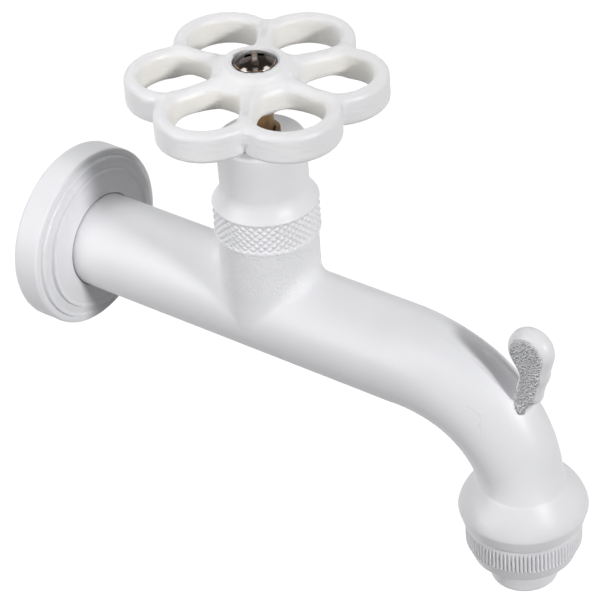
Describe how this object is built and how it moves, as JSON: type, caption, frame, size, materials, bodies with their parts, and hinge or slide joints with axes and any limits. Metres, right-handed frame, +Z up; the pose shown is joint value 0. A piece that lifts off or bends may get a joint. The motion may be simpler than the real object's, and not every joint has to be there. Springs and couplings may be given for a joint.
{
  "type": "garden tap",
  "caption": "Wall-mounted garden tap with a flower handwheel, knurled shroud, sliding wall rosette, bent spout with a bucket hook, and a fluted nut that holds a hose nozzle.",
  "frame": {"origin": "on the axis of the inlet and the straight body, in the plane of the wall that the rosette's back lies on", "axes": "+X leaves the wall along the body, +Z is up along the spindle, and Y is across; the outlet points to -Z"},
  "size_m": [0.1881, 0.072, 0.1431],
  "materials": {
    "white_coat": "satin white powder coat over a brass casting",
    "rosette_coat": "satin white powder coat over turned brass",
    "shroud_coat": "satin white powder coat over a knurled brass turning",
    "wheel_coat": "satin white powder coat over a zinc casting",
    "nut_coat": "satin white powder coat over turned brass",
    "brass": "turned",
    "chrome": "bright plated",
    "rubber": "moulded",
    "fibre": "pressed red fibre",
    "packing": "smooth white"
  },
  "bodies": {
    "tap": {"tap_body": "white_coat", "valve_seat": "brass", "bonnet_gasket": "fibre", "headwork_body": "brass", "stem_packing": "packing", "packing_follower": "brass", "gland_nut": "brass", "shroud": "shroud_coat"},
    "valve": {"jumper_valve": "brass", "valve_washer": "rubber", "washer_nut": "brass"},
    "wheel": {"spindle": "brass", "handwheel": "wheel_coat", "screw_washer": "chrome", "handwheel_screw": "chrome"},
    "rosette": {"wall_rosette": "rosette_coat"},
    "nozzle": {"outlet_nozzle": "nut_coat", "outlet_washer": "rubber", "jet_former": "packing"},
    "nut": {"outlet_nut": "nut_coat"}
  },
  "joints": [
    {"name": "valve_lift", "type": "slide", "parent": "tap", "child": "valve", "axis": [0, 0, 1], "range_m": [0, 0.00625]},
    {"name": "handwheel_turn", "type": "hinge", "parent": "valve", "child": "wheel", "pos_m": [0.074, 0, 0.07], "axis": [0, 0, 1], "range_deg": [0, 900]},
    {"name": "rosette_slide", "type": "slide", "parent": "tap", "child": "rosette", "axis": [1, 0, 0], "range_m": [0, 0.04]},
    {"name": "outlet_drop", "type": "slide", "parent": "tap", "child": "nozzle", "axis": [0, 0, -1], "range_m": [0, 0.00726]},
    {"name": "outlet_nut_turn", "type": "hinge", "parent": "nozzle", "child": "nut", "pos_m": [0.157, 0, -0.046], "axis": [0, 0, -1], "range_deg": [0, 1440]}
  ],
  "couplings": [
    {"joint": "valve_lift", "follows": "handwheel_turn", "m_per_rad": 0.00039789},
    {"joint": "outlet_drop", "follows": "outlet_nut_turn", "m_per_rad": 0.0002887}
  ]
}
